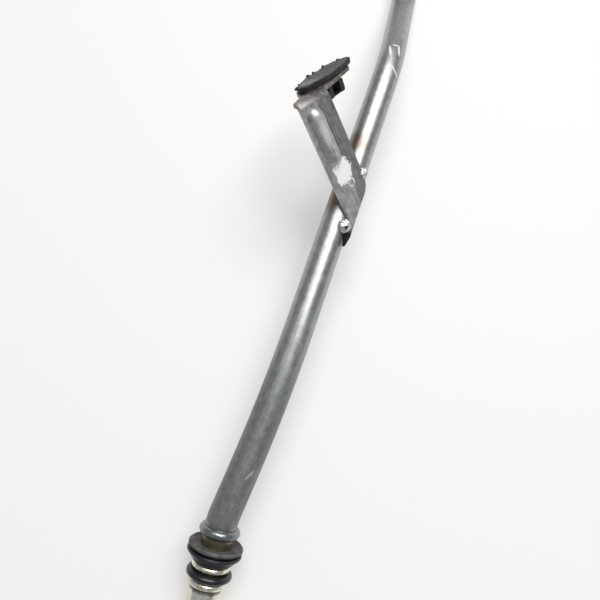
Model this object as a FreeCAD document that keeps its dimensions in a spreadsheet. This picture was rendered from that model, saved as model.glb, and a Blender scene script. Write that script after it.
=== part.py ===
import FreeCAD, Part
import Sketcher
import math
import os
import re

# Oil dipstick guide tube with its welded bracket, rubber buffer and seals.
# Millimetres, +Z up. The part lies on a flat surface as it comes to rest, with its plug-in end towards -Y,
# and the origin is on that surface under the middle of the whole part.

Vector = FreeCAD.Vector
Rotation = FreeCAD.Rotation
Placement = FreeCAD.Placement

# Closeness in millimetres at which two points count as one
NEAR = 1e-6

# Sides of the figure that stands for the O-ring's round section
RING_SIDES = 12

# Driving sizes, one cell each, lengths in millimetres and angles in degrees
SIZES = {
    # drawn steel tube
    "tube_od": 12.0,
    "tube_wall": 1.0,
    # lower end, heights measured along the spigot from its open end
    "shoulder_height": 17.4,
    "zinc_bead_section": 1.3,
    "ring_clearance": 0.7,
    "top_bead_spacing": 12.7,
    "top_bead_section": 1.75,
    "neck_clearance": 0.25,
    "end_chamfer": 0.5,
    # bend table: turn of the bend plane, bend angle, bend radius, then the straight that follows
    "neck_plane_angle": 124.2,
    "neck_angle": 11.1,
    "neck_radius": 25.0,
    "lower_straight": 13.5,
    "sweep_plane_angle": 100.0,
    "sweep_angle": 7.2,
    "sweep_radius": 500.0,
    "middle_straight": 117.0,
    "crest_plane_angle": -31.0,
    "crest_angle": 22.0,
    "crest_radius": 70.0,
    "upper_straight": 33.0,
    "level_plane_angle": 165.0,
    "level_angle": 19.6,
    "level_radius": 40.0,
    "level_straight": 4.0,
    "outlet_plane_angle": -90.0,
    "outlet_angle": 50.0,
    "outlet_radius": 35.0,
    "mouth_straight": 58.0,
    # direction of the spigot as the part lies
    "lie_heading_angle": -4.14,
    "lie_rise_angle": 12.88,
    # bracket, pressed from one steel strip
    "bracket_station": 58.2,
    "bracket_roll_angle": 43.0,
    "arm_angle": 58.3,
    "arm_width": 17.7,
    "arm_length": 40.6,
    "strip_thickness": 1.6,
    "foot_overhang": 3.8,
    "foot_corner": 9.0,
    "foot_tip": 1.2,
    "tail_length": 9.5,
    "tail_width": 2.9,
    "tail_point": 1.2,
    "bend_inner": 2.0,
    "fold_angle": 76.5,
    "rib_width": 8.8,
    "rib_height": 3.0,
    "rib_offset": 3.4,
    "rib_start": 19.0,
    "rib_margin": 0.4,
    "ear_rise": 1.2,
    "ear_drop": 7.2,
    "ear_height": 9.0,
    "ear_length": 28.6,
    "tab_corner": 2.5,
    "heel_drop": 11.0,
    "heel_inset": 14.0,
    "knee_drop": 3.5,
    "knee_inset": 8.5,
    # rubber buffer on the tab
    "pad_length": 41.0,
    "pad_height": 11.4,
    "pad_end_height": 6.0,
    "pad_end_radius": 3.6,
    "pad_thickness": 2.4,
    "pad_offset": 22.6,
    "pad_drop": 9.2,
    "pad_tilt_angle": 10.5,
    "block_rise": 2.2,
    "block_shift": 3.5,
    "block_length": 12.4,
    "block_depth": 5.2,
    "block_height": 9.0,
    "block_corner": 0.8,
    "loop_length": 5.6,
    "loop_depth": 4.1,
    "stem_length": 7.0,
    "stem_height": 4.0,
    # dust seal between the zinc bead and the top bead
    "seal_radius": 10.3,
    "seal_lip": 1.7,
    "seal_dish": 0.7,
    "seal_groove": 0.8,
    "seal_groove_depth": 1.6,
    "seal_lower_lip": 1.2,
    "seal_skirt": 3.0,
    "seal_skirt_radius": 7.3,
    # O-ring between the shoulder bead and the zinc bead
    "ring_section": 2.6,
    # weld beads, measured along the tube past the strip's two edges
    "upper_weld_clearance": 0.6,
    "upper_weld_length": 5.8,
    "upper_weld_width": 5.4,
    "lower_weld_clearance": 1.45,
    "lower_weld_length": 6.8,
    "lower_weld_width": 6.4,
    "weld_crown": 2.6,
}

doc = FreeCAD.newDocument("dipstick_tube")
sheet = doc.addObject("Spreadsheet::Sheet", "sizes")
for row, (word, number) in enumerate(SIZES.items(), start=1):
    sheet.set(f"A{row}", word)
    sheet.set(f"B{row}", str(number))
    sheet.setAlias(f"B{row}", word)
doc.recompute()


def size(word):
    """A driving size, read from the sheet."""
    return float(getattr(sheet, word))


def linked(rule):
    """A rule with each driving size in it written as its cell."""
    return re.sub(r"[a-z_]+", lambda found: "sizes." + found[0] if found[0] in SIZES else found[0], rule)


def bind(thing, **rules):
    """Ties properties of a feature to rules in driving sizes."""
    for name, rule in rules.items():
        thing.setExpression(name, linked(rule))


def new_body(name):
    body = doc.addObject("PartDesign::Body", name)
    body.Label = name
    return body


def new_sketch(body, name, role, height="0"):
    """A sketch parallel to one of the body's origin planes, at a height along that plane's normal."""
    sketch = body.newObject("Sketcher::SketchObject", name)
    plane = [item for item in body.Origin.OriginFeatures if item.Role == role][0]
    sketch.AttachmentSupport = (plane, [""])
    sketch.MapMode = "FlatFace"
    sketch.setExpression("AttachmentOffset.Base.z", linked(height))
    return sketch


def circle(sketch, radius):
    """A circle about the sketch's own origin."""
    sketch.addGeometry(Part.Circle(Vector(), Vector(0, 0, 1), float(sketch.evalExpression(linked(radius)))))
    sketch.addConstraint(Sketcher.Constraint("Coincident", 0, 3, -1, 1))
    row = sketch.addConstraint(Sketcher.Constraint("Radius", 0, sketch.Geometry[0].Radius))
    sketch.setExpression(f"Constraints[{row}]", linked(radius))


def outline(sketch, corners):
    """A closed outline. A corner is (x, y), or (x, y, radius) where an arc leads on to the next corner.

    The arc turns left, or right where the radius is given with a leading minus.
    """
    def worked_out(rule):
        return float(sketch.evalExpression(linked(rule)))

    spots = [Vector(worked_out(corner[0]), worked_out(corner[1]), 0) for corner in corners]
    ends = []
    for index, corner in enumerate(corners):
        here = spots[index]
        there = spots[(index + 1) % len(spots)]
        if len(corner) == 2:
            sketch.addGeometry(Part.LineSegment(here, there))
            ends.append((1, 2))
            continue
        left = not corner[2].startswith("-")
        radius = worked_out(corner[2].lstrip("-"))
        first, last = (here, there) if left else (there, here)
        half = (last - first) * 0.5
        inward = Vector(-half.y, half.x, 0).normalize() * math.sqrt(max(radius**2 - half.Length**2, 0.0))
        centre = first + half + inward
        start = math.atan2(first.y - centre.y, first.x - centre.x)
        stop = math.atan2(last.y - centre.y, last.x - centre.x)
        sketch.addGeometry(Part.ArcOfCircle(Part.Circle(centre, Vector(0, 0, 1), radius), start, stop))
        ends.append((1, 2) if left else (2, 1))
    for index, corner in enumerate(corners):
        after = (index + 1) % len(corners)
        joined = Sketcher.Constraint("Coincident", index, ends[index][1], after, ends[after][0])
        sketch.addConstraint(joined)
        spot = spots[index]
        for kind, rule, number in (("DistanceX", corner[0], spot.x), ("DistanceY", corner[1], spot.y)):
            row = sketch.addConstraint(Sketcher.Constraint(kind, -1, 1, index, ends[index][0], number))
            sketch.setExpression(f"Constraints[{row}]", linked(rule))
        if len(corner) == 3:
            rule = corner[2].lstrip("-")
            row = sketch.addConstraint(Sketcher.Constraint("Radius", index, worked_out(rule)))
            sketch.setExpression(f"Constraints[{row}]", linked(rule))


def pad(body, sketch, name, length, **settings):
    feature = body.newObject("PartDesign::Pad", name)
    feature.Profile = sketch
    bind(feature, Length=length)
    for word, setting in settings.items():
        setattr(feature, word, setting)
    doc.recompute()
    return feature


def edges_at(feature, wanted):
    """Names of the feature's edges whose middle passes the test."""
    found = []
    for number, edge in enumerate(feature.Shape.Edges, start=1):
        if wanted(edge, edge.valueAt((edge.FirstParameter + edge.LastParameter) / 2)):
            found.append(f"Edge{number}")
    return found


def round_off(body, base, name, radius, wanted):
    feature = body.newObject("PartDesign::Fillet", name)
    feature.Base = (base, edges_at(base, wanted))
    bind(feature, Radius=radius)
    doc.recompute()
    return feature


# Heights along the spigot from its open end, each from the piece below it

zinc_bead_height = "(shoulder_height + 2 * zinc_bead_section + ring_section + ring_clearance)"
top_bead_height = f"({zinc_bead_height} + top_bead_spacing)"
spigot_length = f"({top_bead_height} + top_bead_section + neck_clearance)"


def worked(rule):
    """The value of a rule in driving sizes."""
    return float(sheet.evalExpression(linked(rule)))


# Tube route in the spigot's own frame: Z runs up the spigot, X points away from the floor

def walk_route():
    """Edges of the centreline above the spigot, and the start and direction of each straight run."""
    point = Vector(0, 0, worked(spigot_length))
    direction = Vector(0, 0, 1)
    normal = Vector(1, 0, 0)
    edges = []
    runs = {}
    bends = (
        ("neck", "lower"),
        ("sweep", "middle"),
        ("crest", "upper"),
        ("level", "level"),
        ("outlet", "mouth"),
    )
    for bend, straight in bends:
        normal = Rotation(direction, size(bend + "_plane_angle")).multVec(normal)
        centre = point + normal * size(bend + "_radius")
        axis = direction.cross(normal)
        half_turn = Rotation(axis, size(bend + "_angle") / 2)
        full_turn = Rotation(axis, size(bend + "_angle"))
        middle = centre + half_turn.multVec(point - centre)
        finish = centre + full_turn.multVec(point - centre)
        edges.append(Part.Arc(point, middle, finish).toShape())
        direction = full_turn.multVec(direction)
        normal = full_turn.multVec(normal)
        runs[straight] = (finish, direction)
        point = finish + direction * size(straight + "_straight")
        edges.append(Part.LineSegment(finish, point).toShape())
    runs["end"] = (point, direction)
    return edges, runs


route_edges, runs = walk_route()
route = doc.addObject("Part::Feature", "tube_route")
route.Shape = Part.Wire(route_edges)
route_names = [f"Edge{number}" for number in range(1, len(route_edges) + 1)]


def lying_placement():
    """The spigot frame as the part lies: X away from the floor, Z up the spigot."""
    heading = math.radians(size("lie_heading_angle"))
    rise = math.radians(size("lie_rise_angle"))
    along = Vector(math.cos(rise) * math.sin(heading), math.cos(rise) * math.cos(heading), math.sin(rise))
    right = along.cross(Vector(0, 0, 1)).normalize()
    return Placement(Vector(), Rotation(right.cross(along), right, along, "ZXY"))


tube_place = lying_placement()


# Guide tube: a solid bar along the route with its three upset beads, then bored through

tube = new_body("guide_tube")
spigot_round = new_sketch(tube, "spigot_round", "XY_Plane")
circle(spigot_round, "tube_od / 2")
pad(tube, spigot_round, "spigot_bar", spigot_length)
route_round = new_sketch(tube, "route_round", "XY_Plane", spigot_length)
circle(route_round, "tube_od / 2")
bar = tube.newObject("PartDesign::AdditivePipe", "tube_bar")
bar.Profile = route_round
bar.Spine = (route, route_names)
doc.recompute()
for name, height, section in (
    ("shoulder_bead", "shoulder_height", "zinc_bead_section"),
    ("zinc_bead", zinc_bead_height, "zinc_bead_section"),
    ("top_bead", top_bead_height, "top_bead_section"),
):
    bead = tube.newObject("PartDesign::AdditiveTorus", name)
    bind(bead, Radius1="tube_od / 2", Radius2=section)
    bead.setExpression("Placement.Base.z", linked(height))
    doc.recompute()
lead_in = tube.newObject("PartDesign::Chamfer", "lead_in")
lead_in.Base = (bead, edges_at(bead, lambda edge, middle: abs(middle.z) < NEAR))
bind(lead_in, Size="end_chamfer")
doc.recompute()
solid_bar = lead_in.Shape.copy()
spigot_bore = tube.newObject("PartDesign::SubtractiveCylinder", "spigot_bore")
bind(spigot_bore, Radius="tube_od / 2 - tube_wall", Height=spigot_length)
doc.recompute()
bore_round = new_sketch(tube, "bore_round", "XY_Plane", spigot_length)
circle(bore_round, "tube_od / 2 - tube_wall")
bore = tube.newObject("PartDesign::SubtractivePipe", "route_bore")
bore.Profile = bore_round
bore.Spine = (route, route_names)
doc.recompute()
tube.Placement = tube_place

centreline = worked(spigot_length) + route.Shape.Length
bore_area = math.pi * (size("tube_od") / 2 - size("tube_wall")) ** 2
cut_away = solid_bar.Volume - bore.Shape.Volume
print(f"centreline {centreline:.1f} mm, bore {cut_away:.0f} mm3 against {bore_area * centreline:.0f} mm3")
if abs(cut_away / (bore_area * centreline) - 1) > 0.01:
    raise RuntimeError("the bore doesn't follow the tube")


# Seam frame, where the bracket's foot touches the tube: X across the tube, Y along it, Z out of the foot

run_start, run_direction = runs["middle"]
seam_along = tube_place.Rotation.multVec(run_direction)
seam_side = seam_along.cross(Vector(0, 0, 1)).normalize()
upward = seam_side.cross(seam_along)
seam_out = Rotation(seam_along, size("bracket_roll_angle")).multVec(upward)
run_point = tube_place.multVec(run_start + run_direction * size("bracket_station"))
seam_place = Placement(
    run_point + seam_out * (size("tube_od") / 2),
    Rotation(seam_along.cross(seam_out), seam_along, seam_out, "ZYX"),
)
# Arm frame: X along the arm away from the foot, Y across it, Z as the seam's
arm_place = seam_place * Placement(Vector(), Rotation(Vector(0, 0, 1), 90 + size("arm_angle")))


# Bracket: foot and arm in the flat with a tail below, a tab folded at the arm's end, a rib on the arm

bracket = new_body("bracket")
flat = new_sketch(bracket, "strip_outline", "XY_Plane")
outline(flat, [
    ("(arm_width / 2 * cos(arm_angle) - foot_overhang) / sin(arm_angle)", "-arm_width / 2"),
    ("arm_length", "-arm_width / 2"),
    ("arm_length", "arm_width / 2"),
    ("(-arm_width / 2 * cos(arm_angle) - foot_overhang) / sin(arm_angle)", "arm_width / 2"),
])
strip = pad(bracket, flat, "strip", "strip_thickness")
half_width = size("arm_width") / 2


def upright_foot_corner(side):
    """Test for the foot's upright edge on one side of the arm."""
    def wanted(edge, middle):
        upright = abs(edge.tangentAt(edge.FirstParameter).z) > 0.99
        return upright and abs(middle.y - side * half_width) < NEAR and middle.x < half_width
    return wanted


strip = round_off(bracket, strip, "foot_round", "foot_corner", upright_foot_corner(-1))
strip = round_off(bracket, strip, "tip_round", "foot_tip", upright_foot_corner(1))

foot_point = "(-arm_width / 2 - foot_overhang * cos(arm_angle)) / sin(arm_angle)"
tail = new_sketch(bracket, "tail_outline", "XY_Plane")
tail.AttachmentOffset = Placement(Vector(), Rotation(Vector(0, 0, -1), 1))
tail.setExpression("AttachmentOffset.Rotation.Angle", linked("90 + arm_angle"))
outline(tail, [
    ("foot_overhang - tail_width", foot_point + " + tail_width"),
    ("foot_overhang - tail_width", foot_point + " - tail_length / 2"),
    ("foot_overhang - tail_point", foot_point + " - tail_length"),
    ("foot_overhang", foot_point + " - tail_length / 2"),
    ("foot_overhang", foot_point + " + tail_width"),
])
pad(bracket, tail, "tail", "strip_thickness")

outer_bend = "(bend_inner + strip_thickness)"
fold = new_sketch(bracket, "fold_profile", "XZ_Plane")
outline(fold, [
    (
        f"arm_length + {outer_bend} * sin(fold_angle)",
        f"{outer_bend} * cos(fold_angle) - bend_inner",
        outer_bend,
    ),
    ("arm_length", "strip_thickness"),
    ("arm_length", "0", "-bend_inner"),
    ("arm_length + bend_inner * sin(fold_angle)", "bend_inner * cos(fold_angle) - bend_inner"),
])
pad(bracket, fold, "fold", "arm_width", Midplane=True)


def tab_sketch(name, height):
    """A sketch parallel to the tab, at a height from the bend's centre, with X down the tab and Y across."""
    sketch = new_sketch(bracket, name, "XY_Plane")
    sketch.AttachmentOffset = Placement(Vector(), Rotation(Vector(0, 1, 0), 1))
    sketch.setExpression("AttachmentOffset.Rotation.Angle", linked("fold_angle"))
    sketch.setExpression("AttachmentOffset.Base.x", linked(f"arm_length + {height} * sin(fold_angle)"))
    sketch.setExpression("AttachmentOffset.Base.z", linked(f"{height} * cos(fold_angle) - bend_inner"))
    return sketch


ear_end = "(-arm_width / 2 - ear_length)"
tab_outline = tab_sketch("tab_outline", "bend_inner")
outline(tab_outline, [
    ("0", "arm_width / 2"),
    ("0", "-arm_width / 2"),
    ("-ear_rise", "-arm_width / 2"),
    ("ear_drop", ear_end),
    ("ear_drop + ear_height", ear_end),
    ("heel_drop", "arm_width / 2 - heel_inset"),
    ("knee_drop", "arm_width / 2 - knee_inset"),
])
tab = pad(bracket, tab_outline, "tab", "strip_thickness")
fold_place = Placement(
    Vector(size("arm_length"), 0, -size("bend_inner")),
    Rotation(Vector(0, 1, 0), size("fold_angle")),
)


def tab_corner_edge(edge, middle):
    """The tab's three free corners."""
    across = fold_place.Rotation.inverted().multVec(edge.tangentAt(edge.FirstParameter))
    place = fold_place.inverse().multVec(middle)
    ear_tip = -half_width - size("ear_length")
    corners = (
        (size("ear_drop"), ear_tip),
        (size("ear_drop") + size("ear_height"), ear_tip),
        (size("heel_drop"), half_width - size("heel_inset")),
    )
    return abs(across.z) > 0.99 and any(math.dist((place.x, place.y), corner) < NEAR for corner in corners)


tab = round_off(bracket, tab, "tab_round", "tab_corner", tab_corner_edge)

rib_rise = "((rib_width / 2) ^ 2 + rib_height ^ 2) / (2 * rib_height)"
hollow_rise = "(((rib_width - strip_thickness) / 2) ^ 2 + rib_height ^ 2) / (2 * rib_height)"
rib_end = "(arm_length - rib_margin - rib_width / 2)"
ridge = new_sketch(bracket, "ridge_section", "YZ_Plane", "rib_start")
outline(ridge, [
    ("rib_offset - rib_width / 2", "strip_thickness / 2"),
    ("rib_offset + rib_width / 2", "strip_thickness / 2"),
    ("rib_offset + rib_width / 2", "strip_thickness", rib_rise),
    ("rib_offset - rib_width / 2", "strip_thickness"),
])
pad(bracket, ridge, "ridge", rib_end + " - rib_start")
for name, place in (("lower", "rib_start"), ("upper", rib_end)):
    dome = new_sketch(bracket, name + "_dome_section", "YZ_Plane", place)
    outline(dome, [
        ("rib_offset", "strip_thickness / 2"),
        ("rib_offset + rib_width / 2", "strip_thickness / 2"),
        ("rib_offset + rib_width / 2", "strip_thickness", rib_rise),
        ("rib_offset", "strip_thickness + rib_height"),
    ])
    turned = bracket.newObject("PartDesign::Revolution", name + "_dome")
    turned.Profile = dome
    turned.ReferenceAxis = (dome, ["Edge4"])
    turned.Angle = 360
    doc.recompute()
domed = turned
hollow = new_sketch(bracket, "hollow_section", "YZ_Plane", "rib_start")
outline(hollow, [
    ("rib_offset - (rib_width - strip_thickness) / 2", "0"),
    ("rib_offset + (rib_width - strip_thickness) / 2", "0", hollow_rise),
])
channel = bracket.newObject("PartDesign::Pocket", "channel")
channel.Profile = hollow
channel.Reversed = True
bind(channel, Length=rib_end + " - rib_start")
doc.recompute()
for name, place in (("lower", "rib_start"), ("upper", rib_end)):
    bowl = new_sketch(bracket, name + "_bowl_section", "YZ_Plane", place)
    outline(bowl, [
        ("rib_offset", "0"),
        ("rib_offset + (rib_width - strip_thickness) / 2", "0", hollow_rise),
        ("rib_offset", "rib_height"),
    ])
    turned = bracket.newObject("PartDesign::Groove", name + "_bowl")
    turned.Profile = bowl
    turned.ReferenceAxis = (bowl, ["Edge3"])
    turned.Angle = 360
    doc.recompute()


def pad_spot(down, across):
    """A place in the tab's plane, given down and across the tilted pad from its middle."""
    turned_down = f"({down}) * cos(pad_tilt_angle) - ({across}) * sin(pad_tilt_angle)"
    turned_across = f"({down}) * sin(pad_tilt_angle) + ({across}) * cos(pad_tilt_angle)"
    return f"pad_drop + {turned_down}", f"-pad_offset + {turned_across}"


stem_corners = [
    ("-block_rise - stem_height / 2", "block_shift - stem_length / 2"),
    ("-block_rise + stem_height / 2", "block_shift - stem_length / 2"),
    ("-block_rise + stem_height / 2", "block_shift + stem_length / 2"),
    ("-block_rise - stem_height / 2", "block_shift + stem_length / 2"),
]
slot = tab_sketch("stem_slot_outline", outer_bend)
outline(slot, [pad_spot(*corner) for corner in stem_corners])
opening = bracket.newObject("PartDesign::Pocket", "stem_slot")
opening.Profile = slot
bind(opening, Length="strip_thickness")
doc.recompute()
rib_hollow = domed.Shape.Volume - turned.Shape.Volume
print(f"slot cut {turned.Shape.Volume - opening.Shape.Volume:.1f} mm3, rib hollow {rib_hollow:.1f} mm3")
bracket.Placement = arm_place


# Rubber buffer: pad outside the tab, stem through its slot, loop block inside. X down the pad, Y across

buffer = new_body("rubber_buffer")
crown = "(pad_height - pad_end_height) / 2"
pad_span = "(pad_length - pad_end_height / 2)"
face_rise = f"(({pad_span} / 2) ^ 2 + ({crown}) ^ 2) / (2 * {crown})"
face = new_sketch(buffer, "pad_outline", "XY_Plane", outer_bend)
outline(face, [
    ("-pad_end_height / 2", f"{pad_span} / 2", face_rise),
    ("-pad_end_height / 2", f"-{pad_span} / 2", "pad_end_radius"),
    ("pad_end_height / 2", f"-{pad_span} / 2", face_rise),
    ("pad_end_height / 2", f"{pad_span} / 2", "pad_end_radius"),
])
pad(buffer, face, "pad", "pad_thickness")
stem = new_sketch(buffer, "stem_outline", "XY_Plane", outer_bend)
outline(stem, stem_corners)
pad(buffer, stem, "stem", "strip_thickness", Reversed=True)
block = new_sketch(buffer, "block_outline", "XY_Plane", "bend_inner")
outline(block, [
    ("-block_rise - block_height / 2", "block_shift - block_length / 2"),
    ("-block_rise + block_height / 2", "block_shift - block_length / 2"),
    ("-block_rise + block_height / 2", "block_shift + block_length / 2"),
    ("-block_rise - block_height / 2", "block_shift + block_length / 2"),
])
loop_block = pad(buffer, block, "loop_block", "block_depth", Reversed=True)


def outer_block_edge(edge, middle):
    down_tab = abs(edge.tangentAt(edge.FirstParameter).x) > 0.99
    return down_tab and middle.z < size("bend_inner") - size("block_depth") / 2


loop_block = round_off(buffer, loop_block, "block_round", "block_corner", outer_block_edge)
window = new_sketch(buffer, "loop_outline", "YZ_Plane", "block_height / 2 - block_rise")
loop_floor = "bend_inner - block_depth + (block_depth - loop_depth) / 2"
outline(window, [
    ("block_shift - loop_length / 2", loop_floor),
    ("block_shift + loop_length / 2", loop_floor),
    ("block_shift + loop_length / 2", loop_floor + " + loop_depth"),
    ("block_shift - loop_length / 2", loop_floor + " + loop_depth"),
])
loop = buffer.newObject("PartDesign::Pocket", "loop")
loop.Profile = window
bind(loop, Length="block_height")
doc.recompute()
print(f"loop cut {loop_block.Shape.Volume - loop.Shape.Volume:.1f} mm3")
pad_place = Placement(
    Vector(size("pad_drop"), -size("pad_offset"), 0),
    Rotation(Vector(0, 0, 1), size("pad_tilt_angle")),
)
buffer.Placement = arm_place * fold_place * pad_place


# Dust seal: a turned rubber grommet that sits on the zinc bead, with a groove between its two lips

seal = new_body("dust_seal")
seal_section = new_sketch(seal, "seal_section", "XZ_Plane")
seat = f"({zinc_bead_height} + zinc_bead_section)"
skirt_top = f"({seat} + seal_skirt)"
groove_base = f"({skirt_top} + seal_lower_lip)"
groove_top = f"({groove_base} + seal_groove)"
seal_top = f"({groove_top} + seal_lip)"
outline(seal_section, [
    ("tube_od / 2", seat),
    ("seal_skirt_radius", seat),
    ("seal_radius - seal_lower_lip / 3", skirt_top),
    ("seal_radius", skirt_top + " + seal_lower_lip / 3"),
    ("seal_radius", groove_base + " - seal_lower_lip / 3"),
    ("seal_radius - seal_lower_lip / 3", groove_base),
    ("seal_radius - seal_groove_depth", groove_base),
    ("seal_radius - seal_groove_depth", groove_top),
    ("seal_radius - seal_lip / 3", groove_top),
    ("seal_radius", groove_top + " + seal_lip / 3"),
    ("seal_radius", seal_top + " - seal_lip / 3"),
    ("seal_radius - seal_lip / 3", seal_top),
    ("seal_skirt_radius", seal_top + " - seal_dish"),
    ("tube_od / 2", seal_top + " - seal_dish"),
])
turned_seal = seal.newObject("PartDesign::Revolution", "turned_seal")
turned_seal.Profile = seal_section
turned_seal.ReferenceAxis = (seal_section, ["V_Axis"])
turned_seal.Angle = 360
seal.Placement = tube_place


# O-ring, held between the shoulder bead and the zinc bead, its round section drawn with twelve sides

ring = new_body("o_ring")
ring_section = new_sketch(ring, "ring_section", "XZ_Plane")
ring_height = "(shoulder_height + zinc_bead_section + (ring_section + ring_clearance) / 2)"
ring_corners = []
for step in range(RING_SIDES):
    turn = 360 * (step + 0.5) / RING_SIDES
    ring_corners.append((
        f"(tube_od + ring_section) / 2 + ring_section / 2 * cos({turn}) / cos({180 / RING_SIDES})",
        f"{ring_height} + ring_section / 2 * sin({turn}) / cos({180 / RING_SIDES})",
    ))
outline(ring_section, ring_corners)
turned_ring = ring.newObject("PartDesign::Revolution", "turned_ring")
turned_ring.Profile = ring_section
turned_ring.ReferenceAxis = (ring_section, ["V_Axis"])
turned_ring.Angle = 360
ring.Placement = tube_place


# Weld beads: domed blobs along the seam, shaped by the tube and the bracket that they join

run_bar = doc.addObject("Part::Cylinder", "run_bar")
bind(run_bar, Radius="tube_od / 2", Height="middle_straight")
run_bar.Placement = Placement(
    tube_place.multVec(run_start),
    Rotation(Vector(0, 0, 1), seam_along),
)
welds = []
weld_places = (
    ("upper_weld", "arm_width / 2 / sin(arm_angle) + upper_weld_clearance"),
    ("lower_weld", foot_point + " - lower_weld_clearance"),
)
for name, along_seam in weld_places:
    blob = doc.addObject("Part::Ellipsoid", name + "_blob")
    bind(blob, Radius1="weld_crown", Radius2=name + "_width / 2", Radius3=name + "_length / 2")
    blob.Placement = seam_place * Placement(Vector(0, worked(along_seam), 0), Rotation())
    joined = doc.addObject("Part::MultiFuse", name + "_neighbours")
    joined.Shapes = [run_bar, bracket]
    weld = doc.addObject("Part::Cut", name)
    weld.Label = name
    weld.Base = blob
    weld.Tool = joined
    welds.append(weld)
doc.recompute()


# Origin on the floor under the middle of the part

pieces = [tube, bracket, buffer, seal, ring] + welds
whole = FreeCAD.BoundBox()
for piece in pieces:
    whole.add(piece.Shape.optimalBoundingBox(False))
shift = Placement(Vector(-whole.Center.x, -whole.Center.y, -whole.ZMin), Rotation())
for item in (tube, bracket, buffer, seal, ring, run_bar, *[weld.Base for weld in welds]):
    item.Placement = shift * item.Placement
doc.recompute()

for item in doc.Objects:
    if "Invalid" in item.State or "Error" in item.State:
        raise RuntimeError(f"{item.Name} failed: {item.State}")
os.makedirs("parts", exist_ok=True)
for piece in pieces:
    if piece.Shape.isNull() or not piece.Shape.isValid():
        raise RuntimeError(f"{piece.Label} has no valid shape")
    box = piece.Shape.BoundBox
    heights = f"z {box.ZMin:.2f} to {box.ZMax:.2f}"
    print(f"{piece.Label}: {len(piece.Shape.Solids)} solid, {piece.Shape.Volume:.1f} mm3, {heights}")
    piece.Shape.exportStep(f"parts/{piece.Label}.step")
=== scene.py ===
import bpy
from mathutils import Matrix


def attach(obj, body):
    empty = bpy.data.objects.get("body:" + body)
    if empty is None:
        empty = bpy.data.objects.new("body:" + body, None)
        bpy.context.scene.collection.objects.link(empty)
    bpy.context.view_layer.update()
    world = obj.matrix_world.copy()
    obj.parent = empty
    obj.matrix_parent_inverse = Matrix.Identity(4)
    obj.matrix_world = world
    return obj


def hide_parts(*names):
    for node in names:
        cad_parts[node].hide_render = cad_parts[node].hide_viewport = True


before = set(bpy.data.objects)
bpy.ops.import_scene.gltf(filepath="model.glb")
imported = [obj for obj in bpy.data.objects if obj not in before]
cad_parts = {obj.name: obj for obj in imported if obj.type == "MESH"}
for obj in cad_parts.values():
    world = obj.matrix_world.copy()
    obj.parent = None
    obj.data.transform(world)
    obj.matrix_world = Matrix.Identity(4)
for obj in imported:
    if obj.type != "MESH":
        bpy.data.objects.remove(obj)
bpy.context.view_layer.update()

import math

import bpy
from mathutils import Matrix, Vector

# Guide tube: drawn steel, satin grey and mottled, with a broad sheen along the top of its long run.
# Below the top bead it has a bright zinc coat with a yellow tint, and an oily film sits in the neck, its
# dark bands there and at the lower beads partly painted shade.
# Heat has browned it beside the bracket, and a few bare scratches cross it near the upper bend.


def new_look(name):
    """Start a material and hand over its nodes, its links and its surface shader."""
    look = bpy.data.materials.new(name)
    look.use_nodes = True
    tree = look.node_tree
    return look, tree.nodes, tree.links, tree.nodes["Principled BSDF"]


def add(kind, feeds=None, **settings):
    """Add a node to the look in hand: each input takes a plain value or another node's output."""
    made = nodes.new("ShaderNode" + kind)
    for setting, value in settings.items():
        setattr(made, setting, value)
    for entry, value in (feeds or {}).items():
        if isinstance(value, bpy.types.NodeSocket):
            links.new(value, made.inputs[entry])
        else:
            made.inputs[entry].default_value = value
    return made


def fade(value, low, low_colour, high, high_colour):
    """Colour a value: one colour at the low reading, another at the high one."""
    made = nodes.new("ShaderNodeValToRGB")
    first, last = made.color_ramp.elements
    first.position = low
    first.color = low_colour
    last.position = high
    last.color = high_colour
    links.new(value, made.inputs["Fac"])
    return made.outputs["Color"]


def height_over_tip(place):
    """Distance of a point from the tip of the plug-in end, measured along it."""
    from_tip = add("VectorMath", {1: plug_tip, 0: place}, operation="SUBTRACT")
    along = add("VectorMath", {1: plug_axis, 0: from_tip.outputs["Vector"]}, operation="DOT_PRODUCT")
    return along.outputs["Value"]


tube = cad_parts["guide_tube"]
# the middle of the plug-in end's tip, and the way that the end points up into the tube
plug_tip = Vector((0.031073, -0.185507, 0.005738))
plug_axis = Vector((-0.070377, 0.972295, 0.222910))
tube_look, nodes, links, shader = new_look("tube_steel")
place = add("TexCoord").outputs["Object"]
parts = add("SeparateXYZ", {"Vector": place})
mottle = add("TexNoise", {"Scale": 330, "Detail": 8, "Roughness": 0.72, "Vector": place})
drawn = add("Mapping", {"Scale": (1500, 45, 1500), "Vector": place})
streaks = add("TexNoise", {"Scale": 1.0, "Detail": 4, "Vector": drawn.outputs["Vector"]})
speckle = add("TexNoise", {"Scale": 2600, "Detail": 3, "Vector": place})
steel = fade(mottle.outputs["Fac"], 0.30, (0.270, 0.280, 0.283, 1), 0.72, (0.470, 0.482, 0.477, 1))
grained = add("Mix", {
    "Factor": 0.28, "A": steel, "B": streaks.outputs["Fac"],
}, data_type="RGBA", blend_type="OVERLAY")
dotted = add("Mix", {
    "Factor": 0.35, "A": grained.outputs["Result"], "B": speckle.outputs["Fac"],
}, data_type="RGBA", blend_type="OVERLAY")
# darker and duller towards the plug-in end
low_end_start = -0.060
darker_low_end = add("MapRange", {
    "From Min": low_end_start, "From Max": -0.110, "To Max": 0.80, "Value": parts.outputs["Y"],
}, interpolation_type="SMOOTHSTEP")
dimmed = add("Mix", {
    "B": (0.62, 0.63, 0.64, 1), "Factor": darker_low_end.outputs["Result"], "A": dotted.outputs["Result"],
}, data_type="RGBA", blend_type="MULTIPLY")
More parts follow.
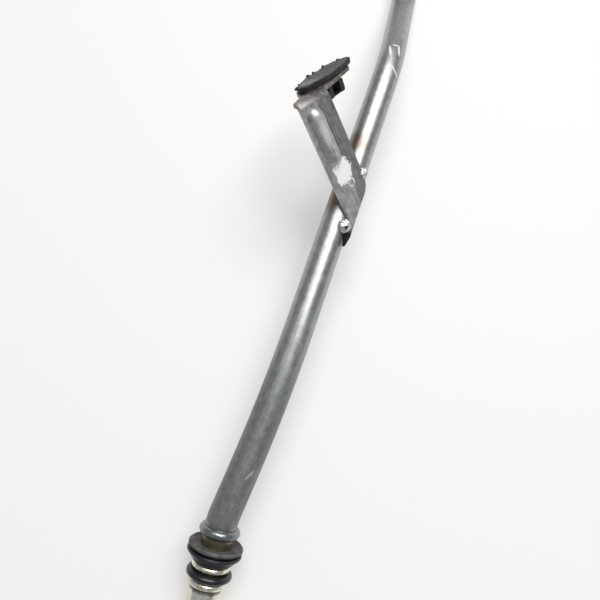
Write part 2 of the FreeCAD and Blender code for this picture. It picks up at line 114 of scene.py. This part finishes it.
# brown heat marks beside the foot of the bracket
heat_marks = (((0.0283, 0.0141, 0.0270), 0.0085), ((0.0287, -0.0133, 0.0265), 0.0080))
fully_brown = 0.35
heat = None
for spot, reach in heat_marks:
    away = add("VectorMath", {1: spot, 0: place}, operation="DISTANCE")
    near = add("MapRange", {
        "From Min": reach, "From Max": reach * fully_brown, "To Max": 0.80, "Value": away.outputs["Value"],
    }, interpolation_type="SMOOTHSTEP")
    if heat:
        both = add("Math", {0: heat, 1: near.outputs["Result"]}, operation="MAXIMUM")
        heat = both.outputs["Value"]
    else:
        heat = near.outputs["Result"]
browned = add("Mix", {
    "B": (0.200, 0.145, 0.100, 1), "Factor": heat, "A": dimmed.outputs["Result"],
}, data_type="RGBA")
# zinc coat below the top bead, yellowed in bands, measured along the plug-in end
height = height_over_tip(place)
zinc_zone = add("MapRange", {"From Min": 0.0345, "From Max": 0.0339, "Value": height})
banding = add("Mapping", {"Scale": (520, 60, 520), "Vector": place})
bands = add("TexNoise", {"Scale": 1.0, "Detail": 6, "Vector": banding.outputs["Vector"]})
zinc = fade(bands.outputs["Fac"], 0.38, (0.66, 0.59, 0.37, 1), 0.56, (0.92, 0.92, 0.86, 1))
coated = add("Mix", {
    "Factor": zinc_zone.outputs["Result"], "A": browned.outputs["Result"], "B": zinc,
}, data_type="RGBA")
# dark brown bands under the top bead and in the corners of the lower beads: partly oily residue, partly
# painted shade where the beads overhang
residue_shade_bands = ((0.0326, 0.0024), (0.0216, 0.0011), (0.0156, 0.0009))
residue_shade_edge = 0.0010
residue_shade_core = 0.0019
grime_and_shade = coated.outputs["Result"]
for level, reach in residue_shade_bands:
    off_level = add("Math", {1: level, 0: height}, operation="SUBTRACT")
    gap = add("Math", {0: off_level.outputs["Value"]}, operation="ABSOLUTE")
    ragged = add("Math", {
        1: -0.0030, 0: mottle.outputs["Fac"], 2: gap.outputs["Value"],
    }, operation="MULTIPLY_ADD")
    close = add("MapRange", {
        "From Min": reach - residue_shade_edge, "From Max": reach - residue_shade_core, "To Max": 0.85,
        "Value": ragged.outputs["Value"],
    })
    stained_and_shaded = add("Mix", {
        "B": (0.120, 0.088, 0.045, 1), "Factor": close.outputs["Result"], "A": grime_and_shade,
    }, data_type="RGBA")
    grime_and_shade = stained_and_shaded.outputs["Result"]
# bare scratches near the upper bend, and a faint rub near the top bead;
# each has its middle, its heading, half its length, half its width and its strength
scratched = grime_and_shade
scoured = None
scratch_depth = 0.0012
scratches = (
    ((0.03060, 0.06560, 0.02850), (0.00258, -0.00858, 0.00197), 0.0048, 0.00075, 0.95),
    ((0.03440, 0.06740, 0.02740), (0.00186, -0.00715, 0.00077), 0.0044, 0.00070, 0.95),
    ((0.03260, 0.06980, 0.02790), (0.00400, 0.00110, -0.00060), 0.0028, 0.00065, 0.90),
    ((0.03560, 0.05500, 0.02830), (0.00369, -0.00300, -0.00297), 0.0038, 0.00065, 0.90),
    ((0.03307, -0.12831, 0.02183), (0.00300, 0.00500, 0.00100), 0.0048, 0.00055, 0.35),
)
for middle, heading, half, width, strength in scratches:
    stroke = add("Mapping", {
        "Location": middle, "Rotation": Vector(heading).to_track_quat("X", "Z").to_euler(),
        "Scale": (half, width, scratch_depth), "Vector": place,
    }, vector_type="TEXTURE")
    scored = add("TexGradient", {"Vector": stroke.outputs["Vector"]}, gradient_type="SPHERICAL")
    broken = add("Math", {
        1: -0.35, 0: speckle.outputs["Fac"], 2: scored.outputs["Fac"],
    }, operation="MULTIPLY_ADD")
    bare = add("MapRange", {
        "From Min": 0.0, "From Max": 0.12, "To Max": strength, "Value": broken.outputs["Value"],
    })
    cut = add("Mix", {
        "B": (0.90, 0.90, 0.88, 1), "Factor": bare.outputs["Result"], "A": scratched,
    }, data_type="RGBA")
    scratched = cut.outputs["Result"]
    if scoured:
        either = add("Math", {0: scoured, 1: bare.outputs["Result"]}, operation="MAXIMUM")
        scoured = either.outputs["Value"]
    else:
        scoured = bare.outputs["Result"]
links.new(scratched, shader.inputs["Base Color"])
metal = add("MapRange", {"To Min": 0.85, "To Max": 0.15, "Value": scoured})
links.new(metal.outputs["Result"], shader.inputs["Metallic"])
# sheen: rougher on the lower half of the long run, smoother on the zinc
dull = add("MapRange", {
    "From Min": low_end_start, "From Max": -0.100, "To Min": 0.26, "To Max": 0.48, "Value": parts.outputs["Y"],
})
patchy = add("Math", {
    1: 0.16, 0: mottle.outputs["Fac"], 2: dull.outputs["Result"],
}, operation="MULTIPLY_ADD")
bright_end = add("MapRange", {"From Min": 0.0392, "From Max": 0.0385, "Value": height})
sheen = add("Mix", {"B": 0.24, "Factor": bright_end.outputs["Result"], "A": patchy.outputs["Value"]})
links.new(sheen.outputs["Result"], shader.inputs["Roughness"])
relief = add("Bump", {"Strength": 0.25, "Distance": 0.0002, "Height": speckle.outputs["Fac"]})
links.new(relief.outputs["Normal"], shader.inputs["Normal"])
tube.data.materials.clear()
tube.data.materials.append(tube_look)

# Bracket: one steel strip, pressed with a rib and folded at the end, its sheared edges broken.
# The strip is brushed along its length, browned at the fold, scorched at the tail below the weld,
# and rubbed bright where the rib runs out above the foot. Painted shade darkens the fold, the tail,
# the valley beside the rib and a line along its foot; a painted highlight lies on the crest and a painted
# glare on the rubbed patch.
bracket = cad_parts["bracket"]
# where the arm leaves the foot, then its directions: along it, across it and out of its face
arm_start = Vector((0.036379, -0.009780, 0.026787))
arm_along = Vector((-0.622876, 0.509747, 0.593450))
arm_across = Vector((-0.383240, -0.860140, 0.336580))
arm_out = Vector((0.682021, -0.017786, 0.731116))
corner_reach = 0.00001
weld_up = bracket.modifiers.new("join_corners", "WELD")
weld_up.merge_threshold = corner_reach
edge_round = bracket.modifiers.new("broken_edges", "BEVEL")
edge_round.width = 0.00034
edge_round.segments = 2
edge_round.limit_method = "ANGLE"
edge_round.angle_limit = math.radians(35)
bracket_look, nodes, links, shader = new_look("bracket_steel")
place = add("TexCoord").outputs["Object"]
from_foot = add("VectorMath", {1: arm_start, 0: place}, operation="SUBTRACT")
along_arm = add("VectorMath", {
    1: arm_along, 0: from_foot.outputs["Vector"],
}, operation="DOT_PRODUCT")
across_arm = add("VectorMath", {
    1: arm_across, 0: from_foot.outputs["Vector"],
}, operation="DOT_PRODUCT")
lifted = add("VectorMath", {1: arm_out, 0: from_foot.outputs["Vector"]}, operation="DOT_PRODUCT")
arm_place = add("CombineXYZ", {
    "X": along_arm.outputs["Value"], "Y": across_arm.outputs["Value"], "Z": lifted.outputs["Value"],
})
brushed = add("Mapping", {"Scale": (60, 2200, 2200), "Vector": arm_place.outputs["Vector"]})
brushing = add("TexNoise", {"Scale": 1.0, "Detail": 4, "Vector": brushed.outputs["Vector"]})
stain = add("TexNoise", {
    "Scale": 330, "Detail": 7, "Roughness": 0.65, "Distortion": 0.6,
    "Vector": arm_place.outputs["Vector"],
})
steel = fade(stain.outputs["Fac"], 0.30, (0.28, 0.286, 0.286, 1), 0.70, (0.60, 0.61, 0.605, 1))
grained = add("Mix", {
    "Factor": 0.5, "A": steel, "B": brushing.outputs["Fac"],
}, data_type="RGBA", blend_type="OVERLAY")
# painted shade: the valley beside the rib is darkened, and a dark painted shadow line runs along the rib's
# foot
valley_shade = add("MapRange", {
    "From Min": -0.0004, "From Max": -0.0020, "To Max": 0.85, "Value": across_arm.outputs["Value"],
}, interpolation_type="SMOOTHSTEP")
shaded = add("Mix", {
    "B": (0.50, 0.51, 0.52, 1), "Factor": valley_shade.outputs["Result"], "A": grained.outputs["Result"],
}, data_type="RGBA", blend_type="MULTIPLY")
rib_foot_shadow_place = add("Mapping", {
    "Location": (0.0280, -0.0011, 0.0016), "Scale": (0.0150, 0.0012, 0.0030),
    "Vector": arm_place.outputs["Vector"],
}, vector_type="TEXTURE")
foot_shadow_line = add("TexGradient", {"Vector": rib_foot_shadow_place.outputs["Vector"]}, gradient_type="SPHERICAL")
foot_shadow = add("MapRange", {"From Max": 0.45, "To Max": 0.85, "Value": foot_shadow_line.outputs["Fac"]})
shadow_lined = add("Mix", {
    "B": (0.040, 0.037, 0.035, 1), "Factor": foot_shadow.outputs["Result"], "A": shaded.outputs["Result"],
}, data_type="RGBA")
# painted highlight: bright streaks along the rib's crest
crest_highlight_place = add("Mapping", {
    "Location": (0.0300, 0.0046, 0.0040), "Scale": (0.0130, 0.0032, 0.0060),
    "Vector": arm_place.outputs["Vector"],
}, vector_type="TEXTURE")
crest_highlight_spot = add("TexGradient", {"Vector": crest_highlight_place.outputs["Vector"]}, gradient_type="SPHERICAL")
crest_highlight_torn = add("Math", {
    1: -1.1, 0: brushing.outputs["Fac"], 2: crest_highlight_spot.outputs["Fac"],
}, operation="MULTIPLY_ADD")
crest_highlight = add("MapRange", {
    "From Min": -0.25, "From Max": 0.25, "To Max": 0.85, "Value": crest_highlight_torn.outputs["Value"],
})
crest_highlighted = add("Mix", {
    "B": (0.93, 0.93, 0.92, 1), "Factor": crest_highlight.outputs["Result"], "A": shadow_lined.outputs["Result"],
}, data_type="RGBA")
# heat tint towards the fold, brown with a pink edge; its dark brown is partly painted shade cast by the pad
tint_shade_place = add("Math", {
    1: 0.016, 0: stain.outputs["Fac"], 2: along_arm.outputs["Value"],
}, operation="MULTIPLY_ADD")
tint_and_shade_zone = add("MapRange", {
    "From Min": 0.044, "From Max": 0.053, "To Max": 0.75, "Value": tint_shade_place.outputs["Value"],
}, interpolation_type="SMOOTHSTEP")
tint_and_shade = fade(stain.outputs["Fac"], 0.47, (0.095, 0.068, 0.055, 1), 0.68, (0.480, 0.415, 0.385, 1))
tinted_and_shaded = add("Mix", {
    "Factor": tint_and_shade_zone.outputs["Result"], "A": crest_highlighted.outputs["Result"], "B": tint_and_shade,
}, data_type="RGBA")
# bright patch where the rib runs out: rubbed bare metal, its white partly a painted glare
patch_off = add("VectorMath", {
    1: (0.0118, 0.0012, 0.0016), 0: arm_place.outputs["Vector"],
}, operation="DISTANCE")
patch_torn = add("Math", {
    1: 0.010, 0: stain.outputs["Fac"], 2: patch_off.outputs["Value"],
}, operation="MULTIPLY_ADD")
worn_glare_patch = add("MapRange", {"From Min": 0.0105, "From Max": 0.0098, "Value": patch_torn.outputs["Value"]})
curl_off = add("VectorMath", {
    1: (0.0062, -0.0006, 0.0016), 0: arm_place.outputs["Vector"],
}, operation="DISTANCE")
curl_band = add("Math", {1: 0.0017, 0: curl_off.outputs["Value"]}, operation="SUBTRACT")
curl_gap = add("Math", {0: curl_band.outputs["Value"]}, operation="ABSOLUTE")
curl_torn = add("Math", {
    1: 0.0016, 0: stain.outputs["Fac"], 2: curl_gap.outputs["Value"],
}, operation="MULTIPLY_ADD")
worn_glare_curl = add("MapRange", {"From Min": 0.00125, "From Max": 0.00105, "Value": curl_torn.outputs["Value"]})
worn_and_glare = add("Math", {0: worn_glare_patch.outputs["Result"], 1: worn_glare_curl.outputs["Result"]}, operation="MAXIMUM")
rubbed_and_glare = add("Mix", {
    "B": (0.95, 0.95, 0.94, 1), "Factor": worn_and_glare.outputs["Value"], "A": tinted_and_shaded.outputs["Result"],
}, data_type="RGBA")
# scorched tail and the dark rim around the lower weld: partly heat scorch, partly painted shade where the
# tail turns away
scorch_off = add("VectorMath", {1: (0.0380, -0.0320, 0.0240), 0: place}, operation="DISTANCE")
scorch_and_shade = add("MapRange", {
    "From Min": 0.0100, "From Max": 0.0060, "Value": scorch_off.outputs["Value"],
}, interpolation_type="SMOOTHSTEP")
scorched_and_shaded = add("Mix", {
    "B": (0.030, 0.027, 0.026, 1), "Factor": scorch_and_shade.outputs["Result"], "A": rubbed_and_glare.outputs["Result"],
}, data_type="RGBA")
links.new(scorched_and_shaded.outputs["Result"], shader.inputs["Base Color"])
satin = add("MapRange", {"To Min": 0.35, "To Max": 0.56, "Value": stain.outputs["Fac"]})
links.new(satin.outputs["Result"], shader.inputs["Roughness"])
bare = add("MapRange", {"To Min": 0.85, "To Max": 0.20, "Value": worn_and_glare.outputs["Value"]})
links.new(bare.outputs["Result"], shader.inputs["Metallic"])
relief = add("Bump", {"Strength": 0.3, "Distance": 0.0002, "Height": brushing.outputs["Fac"]})
links.new(relief.outputs["Normal"], shader.inputs["Normal"])
bracket.data.materials.clear()
bracket.data.materials.append(bracket_look)

# Welds: two bright, lumpy blobs of weld metal where the foot meets the tube.
# The lower one has a small dark crater left by the arc, and both are pitted.
weld_look, nodes, links, shader = new_look("weld_steel")
place = add("TexCoord").outputs["Object"]
pits = add("TexNoise", {"Scale": 900, "Detail": 6, "Roughness": 0.7, "Vector": place})
metal = fade(pits.outputs["Fac"], 0.33, (0.30, 0.28, 0.25, 1), 0.58, (0.86, 0.87, 0.86, 1))
crater_off = add("VectorMath", {1: (0.03777, -0.02506, 0.02846), 0: place}, operation="DISTANCE")
crater = add("MapRange", {
    "From Min": 0.0011, "From Max": 0.0005, "Value": crater_off.outputs["Value"],
}, interpolation_type="SMOOTHSTEP")
burnt = add("Mix", {
    "B": (0.060, 0.052, 0.045, 1), "Factor": crater.outputs["Result"], "A": metal,
}, data_type="RGBA")
links.new(burnt.outputs["Result"], shader.inputs["Base Color"])
shader.inputs["Metallic"].default_value = 0.9
shader.inputs["Roughness"].default_value = 0.3
relief = add("Bump", {"Strength": 0.6, "Distance": 0.0003, "Height": pits.outputs["Fac"]})
links.new(relief.outputs["Normal"], shader.inputs["Normal"])
lumps = bpy.data.textures.new("weld_lumps", "CLOUDS")
lumps.noise_scale = 0.0016
for name in ("upper_weld", "lower_weld"):
    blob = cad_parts[name]
    joined = blob.modifiers.new("join_corners", "WELD")
    joined.merge_threshold = corner_reach
    fine = blob.modifiers.new("fine_mesh", "REMESH")
    fine.mode = "VOXEL"
    fine.voxel_size = 0.00016
    fine.use_smooth_shade = True
    lumpy = blob.modifiers.new("lumpy", "DISPLACE")
    lumpy.texture = lumps
    lumpy.strength = 0.0009
    lumpy.mid_level = 0.6
    blob.data.materials.clear()
    blob.data.materials.append(weld_look)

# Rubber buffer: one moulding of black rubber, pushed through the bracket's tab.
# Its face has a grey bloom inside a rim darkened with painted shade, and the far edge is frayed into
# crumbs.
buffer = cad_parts["rubber_buffer"]
# middle of the pad's face, then its directions: down it, across it and out of it
pad_middle = Vector((0.00827, 0.034593, 0.041033))
down_pad = Vector((-0.864884, -0.022738, -0.501456))
across_pad = Vector((-0.229470, -0.870574, 0.435251))
out_of_pad = Vector((-0.446451, 0.491511, 0.747729))
weld_up = buffer.modifiers.new("join_corners", "WELD")
weld_up.merge_threshold = corner_reach
even_skin = buffer.modifiers.new("even_skin", "REMESH")
even_skin.mode = "VOXEL"
even_skin.voxel_size = 0.00023
even_skin.use_smooth_shade = True
softened = buffer.modifiers.new("softened", "SMOOTH")
softened.factor = 0.5
softened.iterations = 4
sag = bpy.data.textures.new("rubber_sag", "CLOUDS")
sag.noise_scale = 0.0065
sagging = buffer.modifiers.new("sagging", "DISPLACE")
sagging.texture = sag
sagging.strength = 0.0011
sagging.mid_level = 0.55
fray = bpy.data.textures.new("rubber_fray", "CLOUDS")
fray.noise_scale = 0.0011
frayed = buffer.modifiers.new("frayed", "DISPLACE")
frayed.texture = fray
frayed.strength = 0.00040
frayed.mid_level = 0.6
rubber_look, nodes, links, shader = new_look("buffer_rubber")
place = add("TexCoord").outputs["Object"]
bloom = add("TexNoise", {"Scale": 330, "Detail": 9, "Roughness": 0.75, "Vector": place})
grey = fade(bloom.outputs["Fac"], 0.36, (0.026, 0.027, 0.029, 1), 0.70, (0.112, 0.114, 0.119, 1))
# an oval round the face's middle: inside it the bloom shows, outside it the rim is darkened with painted
# shade
oval = add("Mapping", {
    "Location": pad_middle,
    "Rotation": Matrix((down_pad, across_pad, out_of_pad)).transposed().to_euler(),
    "Scale": (0.0061, 0.0222, 0.0050),
    "Vector": place,
}, vector_type="TEXTURE")
inward = add("TexGradient", {"Vector": oval.outputs["Vector"]}, gradient_type="SPHERICAL")
wavy = add("Math", {
    1: 0.25, 0: bloom.outputs["Fac"], 2: inward.outputs["Fac"],
}, operation="MULTIPLY_ADD")
rim_shade = add("MapRange", {
    "From Min": 0.36, "From Max": 0.20, "Value": wavy.outputs["Value"],
}, interpolation_type="SMOOTHSTEP")
rim_shaded = add("Mix", {"B": (0.011, 0.012, 0.014, 1)}, data_type="RGBA")
# pale dust towards the tip that hangs over the fold
oval_parts = add("SeparateXYZ", {"Vector": oval.outputs["Vector"]})
patchy_dust = add("Math", {
    1: 0.9, 0: bloom.outputs["Fac"], 2: oval_parts.outputs["Y"],
}, operation="MULTIPLY_ADD")
tip_dust = add("MapRange", {
    "From Min": 0.65, "From Max": 1.30, "To Max": 0.75, "Value": patchy_dust.outputs["Value"],
}, interpolation_type="SMOOTHSTEP")
dusted = add("Mix", {
    "B": (0.235, 0.225, 0.200, 1), "Factor": tip_dust.outputs["Result"], "A": grey,
}, data_type="RGBA")
links.new(rim_shade.outputs["Result"], rim_shaded.inputs["Factor"])
links.new(dusted.outputs["Result"], rim_shaded.inputs["A"])
links.new(rim_shaded.outputs["Result"], shader.inputs["Base Color"])
shader.inputs["Roughness"].default_value = 0.62
relief = add("Bump", {"Strength": 0.45, "Distance": 0.0003, "Height": bloom.outputs["Fac"]})
links.new(relief.outputs["Normal"], shader.inputs["Normal"])
buffer.data.materials.clear()
buffer.data.materials.append(rubber_look)

# Buffer crumbs: torn bits of the buffer's rim, still hanging on its far edge and its lower tip.
# Each is a small lump of the same rubber, sunk by half into the rim.
# the row of crumbs across the pad, more widely spaced from the middle on
crumb_count = 26
first_across = -0.0186
spacing = 0.00088
wide_from = 13
wider_spacing = 0.0013
# the pad's curved far edge, and how far the crumbs stray from it and sink into it
rim_radius = 0.0682
rim_down = 0.00548
rim_stray = 0.00015
mean_sink = 0.0008
sink_spread = 0.0006
# the crumbs' sizes and their torn shape
mean_size = 0.00068
size_spread = 0.00028
stretch = 0.4
flatness = 0.75
raggedness = 0.35
# turns, in radians, that make each crumb unlike its neighbour
stray_turn = 5.3
size_turn = 2.9
sink_turn = 3.7
bits = []
for step in range(crumb_count):
    across = first_across + spacing * step + wider_spacing * max(0, step - wide_from)
    down = rim_down - rim_radius + math.sqrt(rim_radius ** 2 - across ** 2)
    wobble = math.sin(step * stray_turn)
    size = mean_size + size_spread * math.sin(step * size_turn)
    spot = pad_middle + down_pad * (down + rim_stray * wobble) + across_pad * across
    spot -= out_of_pad * (mean_sink + sink_spread * math.cos(step * sink_turn))
    bpy.ops.object.select_all(action="DESELECT")
    bpy.ops.mesh.primitive_ico_sphere_add(subdivisions=2, radius=size, location=spot)
    bit = bpy.context.object
    bpy.ops.object.mode_set(mode="EDIT")
    bpy.ops.mesh.select_all(action="SELECT")
    bpy.ops.transform.resize(value=(1.0 + stretch * wobble, 1.0, flatness))
    bpy.ops.transform.vertex_random(offset=size * raggedness, seed=step + 1)
    bpy.ops.object.mode_set(mode="OBJECT")
    bits.append(bit)
for bit in bits:
    bit.select_set(True)
bpy.context.view_layer.objects.active = bits[0]
bpy.ops.object.join()
crumbs = bpy.context.object
crumbs.name = "buffer_crumbs"
bpy.ops.object.transform_apply(location=True, rotation=True, scale=True)
crumbs.data.materials.append(rubber_look)
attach(crumbs, "root")

# Dust seal: a turned grommet of black rubber, grey-brown with dust on its dished top face.
# Below the groove the lip and the skirt stay blue-black.
# It is pushed over the plug-in end and sits between two beads.
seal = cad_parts["dust_seal"]
seal_look, nodes, links, shader = new_look("seal_rubber")
place = add("TexCoord").outputs["Object"]
dust = add("TexNoise", {"Scale": 420, "Detail": 8, "Vector": place})
grey = fade(dust.outputs["Fac"], 0.35, (0.045, 0.043, 0.041, 1), 0.70, (0.145, 0.137, 0.122, 1))
height = height_over_tip(place)
dust_start = 0.0290
dust_full = 0.0305
settled = add("MapRange", {
    "From Min": dust_start, "From Max": dust_full, "Value": height,
}, interpolation_type="SMOOTHSTEP")
dusted = add("Mix", {
    "A": (0.010, 0.012, 0.018, 1), "Factor": settled.outputs["Result"], "B": grey,
}, data_type="RGBA")
links.new(dusted.outputs["Result"], shader.inputs["Base Color"])
shine = add("MapRange", {
    "From Min": dust_start, "From Max": dust_full, "To Min": 0.38, "To Max": 0.66,
    "Value": height,
})
links.new(shine.outputs["Result"], shader.inputs["Roughness"])
relief = add("Bump", {"Strength": 0.3, "Distance": 0.0002, "Height": dust.outputs["Fac"]})
links.new(relief.outputs["Normal"], shader.inputs["Normal"])
seal.data.materials.clear()
seal.data.materials.append(seal_look)

# O-ring: a round ring of glossy black rubber, wet with oil, in the groove above the shoulder bead.
# A true torus stands for the many-sided ring.
bpy.ops.object.select_all(action="DESELECT")
ring_height = 0.02035
ring_radius = 0.0073
ring_section = 0.00133
bpy.ops.mesh.primitive_torus_add(
    major_radius=ring_radius,
    minor_radius=ring_section,
    major_segments=96,
    minor_segments=24,
    location=plug_tip + plug_axis * ring_height,
    rotation=plug_axis.to_track_quat("Z", "Y").to_euler(),
)
ring = bpy.context.object
ring.name = "o_ring_round"
bpy.ops.object.transform_apply(location=True, rotation=True, scale=True)
bpy.ops.object.shade_smooth()
ring_look, nodes, links, shader = new_look("ring_rubber")
place = add("TexCoord").outputs["Object"]
wet = add("TexNoise", {"Scale": 500, "Detail": 5, "Vector": place})
black = fade(wet.outputs["Fac"], 0.0, (0.006, 0.008, 0.012, 1), 1.0, (0.022, 0.026, 0.034, 1))
links.new(black, shader.inputs["Base Color"])
gloss = add("MapRange", {"To Min": 0.12, "To Max": 0.34, "Value": wet.outputs["Fac"]})
links.new(gloss.outputs["Result"], shader.inputs["Roughness"])
ring.data.materials.append(ring_look)
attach(ring, "root")
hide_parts("o_ring")

# Table: the pale, nearly white surface that the tube lies on, part of the studio only.
# To the eye and in reflections it glows a little, which lightens the shadows;
# it lights the tube plainly.
bpy.ops.object.select_all(action="DESELECT")
bpy.ops.mesh.primitive_plane_add(size=6.0, location=(0, 0, 0))
table = bpy.context.object
table.name = "table"
table_look, nodes, links, shader = new_look("table_white")
rays = add("LightPath")
seen = add("Math", {
    0: rays.outputs["Is Camera Ray"], 1: rays.outputs["Is Glossy Ray"],
}, operation="MAXIMUM")
white = add("Mix", {
    "A": (0.880, 0.874, 0.860, 1), "B": (0.560, 0.550, 0.532, 1), "Factor": seen.outputs["Value"],
}, data_type="RGBA")
links.new(white.outputs["Result"], shader.inputs["Base Color"])
shader.inputs["Emission Color"].default_value = (1, 1, 1, 1)
glow = add("Math", {1: 0.35, 0: seen.outputs["Value"]}, operation="MULTIPLY")
links.new(glow.outputs["Value"], shader.inputs["Emission Strength"])
shader.inputs["Roughness"].default_value = 0.6
table.data.materials.append(table_look)

# Studio light: one broad soft light above and beyond the part, and a pale room all round it.
# It hangs free over the table and faces the part's middle; it isn't part of the object.
light_place = Vector((0.25, 1.16, 2.0))
bpy.ops.object.light_add(type="AREA", location=light_place)
key_light = bpy.context.object
key_light.name = "key_light"
key_light.data.energy = 58
key_light.data.shape = "RECTANGLE"
key_light.data.size = 2.1
key_light.data.size_y = 1.65
key_light.rotation_euler = (-light_place).to_track_quat("-Z", "Y").to_euler()
world = bpy.data.worlds.new("room")
bpy.context.scene.world = world
world.use_nodes = True
backdrop = world.node_tree.nodes["Background"]
backdrop.inputs["Color"].default_value = (0.95, 0.97, 1.0, 1)
backdrop.inputs["Strength"].default_value = 0.28

# Camera: held above the plug-in end, looking down and tipped 17 degrees along the part.
# It stands where the photo was taken from, and isn't part of the object.
camera_data = bpy.data.cameras.new("camera")
camera = bpy.data.objects.new("camera", camera_data)
bpy.context.scene.collection.objects.link(camera)
bpy.context.scene.camera = camera
camera_data.lens = 32.7
camera_data.sensor_width = 36.0
camera_data.clip_start = 0.01
camera.matrix_world = Matrix((
    (0.9477, -0.3053, 0.0933, 0.049579),
    (0.3193, 0.9063, -0.2771, -0.119635),
    (0.0, 0.2924, 0.9563, 0.232652),
    (0, 0, 0, 1),
))
bpy.context.scene.view_settings.view_transform = "Standard"
